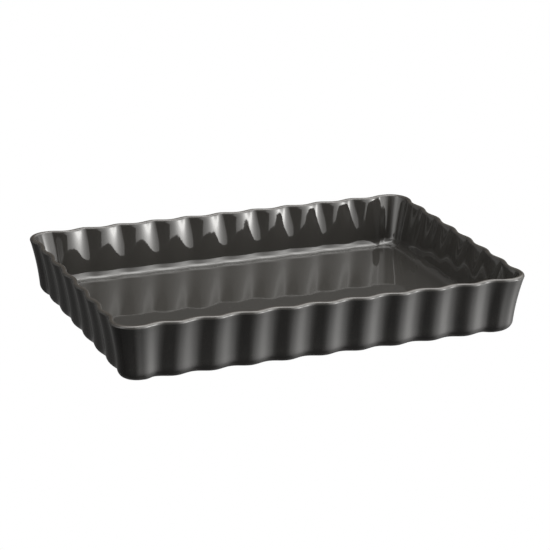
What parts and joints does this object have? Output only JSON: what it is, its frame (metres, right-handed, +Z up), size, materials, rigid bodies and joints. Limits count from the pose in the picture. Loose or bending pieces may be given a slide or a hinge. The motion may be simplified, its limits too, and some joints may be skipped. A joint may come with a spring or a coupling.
{
  "type": "fluted tart dish",
  "caption": "Deep rectangular tart dish in glazed stoneware with fluted flared walls, a thin rounded lip and a bare foot ring to rest on.",
  "frame": {"origin": "on the table under the middle of the dish", "axes": "+X along the length, +Y across the width, +Z up"},
  "size_m": [0.335, 0.238, 0.047],
  "materials": {
    "bare_stoneware": "matte",
    "charcoal_glaze": "gloss",
    "base_glaze": "gloss"
  },
  "bodies": {
    "root": {"stoneware_body": "bare_stoneware", "glaze_coat": "charcoal_glaze", "base_glaze": "base_glaze"}
  },
  "joints": []
}
